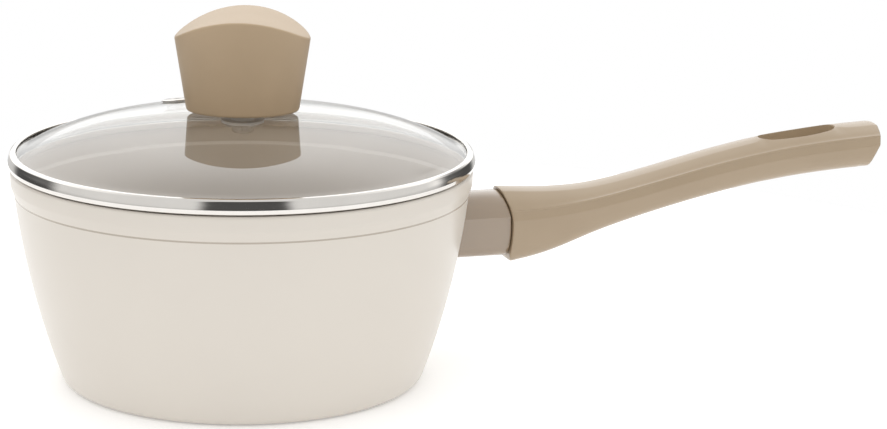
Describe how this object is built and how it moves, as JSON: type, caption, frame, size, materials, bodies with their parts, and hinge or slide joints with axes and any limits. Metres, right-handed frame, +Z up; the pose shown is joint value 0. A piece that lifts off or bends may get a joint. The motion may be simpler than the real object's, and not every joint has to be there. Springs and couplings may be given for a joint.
{
  "type": "saucepan",
  "caption": "Round flared saucepan with a stepped collar, one long moulded handle with a hanging slot, and a lift-off domed glass lid with a steel rim, steam vent and arched knob.",
  "frame": {"origin": "on the pan's axis, in the plane of the underside that it stands on", "axes": "+Z up along the pan's axis, +X along the handle, away from the pan"},
  "size_m": [0.3739, 0.1878, 0.1489],
  "materials": {
    "cream_coat": "pressed aluminium with a glossy cream ceramic coat",
    "base_steel": "perforated stainless disc, turned finish",
    "bare_aluminium": "cast aluminium",
    "guard_paint": "satin taupe paint",
    "handle_plastic": "taupe soft-touch moulded phenolic",
    "screw_steel": "stainless steel",
    "lid_glass": "clear tempered glass",
    "rim_steel": "polished stainless steel",
    "clear_silicone": "translucent silicone",
    "grey_silicone": "dark grey silicone",
    "insert_brass": "knurled brass"
  },
  "bodies": {
    "pan": {"pan_body": "cream_coat", "induction_plate": "base_steel", "handle_bracket": "bare_aluminium", "flame_guard": "guard_paint", "handle_grip": "handle_plastic", "handle_screw": "screw_steel", "spring_washer": "screw_steel"},
    "lid": {"glass_dome": "lid_glass", "rim_band": "rim_steel", "vent_eyelet": "rim_steel", "vent_gasket": "clear_silicone", "knob_body": "handle_plastic", "knob_insert": "insert_brass", "knob_gasket_upper": "grey_silicone", "knob_gasket_lower": "clear_silicone", "knob_washer": "screw_steel", "knob_screw": "screw_steel"}
  },
  "joints": [
    {"name": "lid_lift", "type": "slide", "parent": "pan", "child": "lid", "axis": [0, 0, 1], "range_m": [0, 0.12]}
  ]
}
